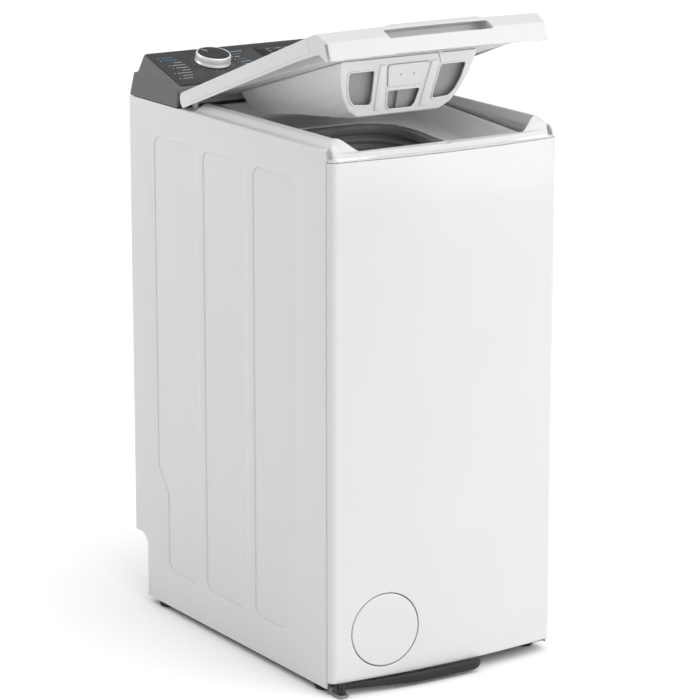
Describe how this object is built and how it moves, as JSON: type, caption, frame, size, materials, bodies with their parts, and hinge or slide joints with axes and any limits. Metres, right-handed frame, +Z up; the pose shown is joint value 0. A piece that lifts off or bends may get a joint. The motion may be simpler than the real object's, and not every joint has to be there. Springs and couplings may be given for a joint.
{
  "type": "top load washing machine",
  "caption": "Slim top-load washing machine with a lifting lid, a dispenser under the lid, a rear console with a knob, a horizontal drum and a castor lever.",
  "frame": {"origin": "centre of the bounding box on the floor, lid open at rest", "axes": "+X to the right seen from the front, +Y to the back, +Z up"},
  "size_m": [0.4, 0.62, 0.9848],
  "materials": {
    "painted_steel": "smooth enamel",
    "white_plastic": "satin",
    "dark_plastic": "fine matt grain",
    "black_plastic": "matt",
    "gloss_black": "gloss",
    "chrome_trim": "bright, turned",
    "seal_rubber": "matt",
    "dark_rubber": "matt",
    "stainless": "brushed",
    "zinc_steel": "zinc plated",
    "tub_plastic": "matt",
    "concrete": "cast",
    "circuit_board": "solder mask"
  },
  "bodies": {
    "cabinet": {"side_panel_left": "painted_steel", "side_panel_right": "painted_steel", "front_panel": "painted_steel", "rear_panel": "painted_steel", "base_frame": "zinc_steel", "top_frame": "white_plastic", "seal_strip_left": "seal_rubber", "seal_strip_right": "seal_rubber", "hinge_pin_left": "zinc_steel", "hinge_pin_right": "zinc_steel", "lid_lock": "black_plastic", "console_housing": "dark_plastic", "control_fascia": "dark_plastic", "display_window": "gloss_black", "control_board": "circuit_board", "bellows": "dark_rubber", "tub_shell": "tub_plastic", "tub_end_left": "tub_plastic", "tub_end_right": "tub_plastic", "bearing_left": "zinc_steel", "bearing_right": "zinc_steel", "heater": "stainless", "counterweight_front": "concrete", "counterweight_rear": "concrete", "drive_belt": "dark_rubber", "motor": "zinc_steel", "suspension_spring_left": "zinc_steel", "suspension_spring_right": "zinc_steel", "damper_left": "black_plastic", "damper_right": "black_plastic", "drain_pump": "tub_plastic", "sump_hose": "dark_rubber", "drain_hose": "dark_rubber", "inlet_valve": "white_plastic", "cable_gland": "black_plastic"},
    "lid": {"lid_shell": "white_plastic", "lid_liner": "white_plastic", "dispenser_body": "white_plastic", "softener_cover": "white_plastic", "latch_hook": "white_plastic"},
    "knob": {"knob_body": "chrome_trim", "knob_cap": "gloss_black"},
    "drum": {"drum_shell": "stainless", "drum_end_left": "stainless", "drum_end_right": "stainless", "drum_paddle": "white_plastic", "drum_pulley": "zinc_steel"},
    "flap_front": {"drum_flap_front": "stainless"},
    "flap_rear": {"drum_flap_rear": "stainless"},
    "rotor": {"motor_pulley": "zinc_steel"},
    "filter_door": {"filter_cover": "painted_steel"},
    "filter_plug": {"drain_filter": "black_plastic"},
    "lever": {"castor_lever": "black_plastic"},
    "carriage": {"castor_carriage": "zinc_steel"},
    "wheel_left": {"castor_wheel_left": "black_plastic"},
    "wheel_right": {"castor_wheel_right": "black_plastic"},
    "foot_front_left": {"foot_front_left": "black_plastic"},
    "foot_front_right": {"foot_front_right": "black_plastic"},
    "foot_rear_left": {"foot_rear_left": "black_plastic"},
    "foot_rear_right": {"foot_rear_right": "black_plastic"}
  },
  "joints": [
    {"name": "lid_hinge", "type": "hinge", "parent": "cabinet", "child": "lid", "pos_m": [0, 0.13234, 0.83399], "axis": [-1, 0, 0], "range_deg": [-19.4, 60.6]},
    {"name": "knob_turn", "type": "hinge", "parent": "cabinet", "child": "knob", "pos_m": [-0.088, 0.23158, 0.86704], "axis": [0, -0.2385, 0.9711], "continuous": true},
    {"name": "drum_spin", "type": "hinge", "parent": "cabinet", "child": "drum", "pos_m": [0, -0.04, 0.48], "axis": [1, 0, 0], "range_deg": [-360, 360]},
    {"name": "motor_spin", "type": "hinge", "parent": "cabinet", "child": "rotor", "pos_m": [0.173, 0.04, 0.15], "axis": [1, 0, 0], "range_deg": [-3600, 3600]},
    {"name": "flap_front_hinge", "type": "hinge", "parent": "drum", "child": "flap_front", "pos_m": [0, -0.12649, 0.67749], "axis": [1, 0, 0], "range_deg": [0, 85]},
    {"name": "flap_rear_hinge", "type": "hinge", "parent": "drum", "child": "flap_rear", "pos_m": [0, 0.04649, 0.67749], "axis": [-1, 0, 0], "range_deg": [0, 74]},
    {"name": "filter_cover_hinge", "type": "hinge", "parent": "cabinet", "child": "filter_door", "pos_m": [-0.1097, -0.29407, 0.0372], "axis": [0.9972, -0.0751, 0], "range_deg": [0, 90]},
    {"name": "filter_turn", "type": "hinge", "parent": "cabinet", "child": "filter_plug", "pos_m": [-0.1097, -0.23, 0.09265], "axis": [0, 1, 0], "range_deg": [-180, 0]},
    {"name": "castor_lever_swing", "type": "hinge", "parent": "cabinet", "child": "lever", "pos_m": [-0.186, -0.292, 0.0125], "axis": [0, 0, -1], "range_deg": [0, 90]},
    {"name": "castor_carriage_slide", "type": "slide", "parent": "cabinet", "child": "carriage", "axis": [0, 0, -1], "range_m": [0, 0.0081]},
    {"name": "castor_roll_left", "type": "hinge", "parent": "carriage", "child": "wheel_left", "pos_m": [-0.12, -0.236, 0.015], "axis": [1, 0, 0], "continuous": true},
    {"name": "castor_roll_right", "type": "hinge", "parent": "carriage", "child": "wheel_right", "pos_m": [0.12, -0.236, 0.015], "axis": [1, 0, 0], "continuous": true},
    {"name": "foot_front_left_thread", "type": "hinge", "parent": "cabinet", "child": "foot_front_left", "pos_m": [-0.182, -0.238, 0.02], "axis": [0, 0, 1], "range_deg": [-360, 360]},
    {"name": "foot_front_right_thread", "type": "hinge", "parent": "cabinet", "child": "foot_front_right", "pos_m": [0.182, -0.238, 0.02], "axis": [0, 0, 1], "range_deg": [-360, 360]},
    {"name": "foot_rear_left_thread", "type": "hinge", "parent": "cabinet", "child": "foot_rear_left", "pos_m": [-0.182, 0.225, 0.02], "axis": [0, 0, 1], "range_deg": [-360, 360]},
    {"name": "foot_rear_right_thread", "type": "hinge", "parent": "cabinet", "child": "foot_rear_right", "pos_m": [0.182, 0.225, 0.02], "axis": [0, 0, 1], "range_deg": [-360, 360]}
  ],
  "couplings": [
    {"joint": "motor_spin", "follows": "drum_spin", "ratio": 9.7407},
    {"joint": "castor_carriage_slide", "follows": "castor_lever_swing", "m_per_rad": 0.005093}
  ]
}
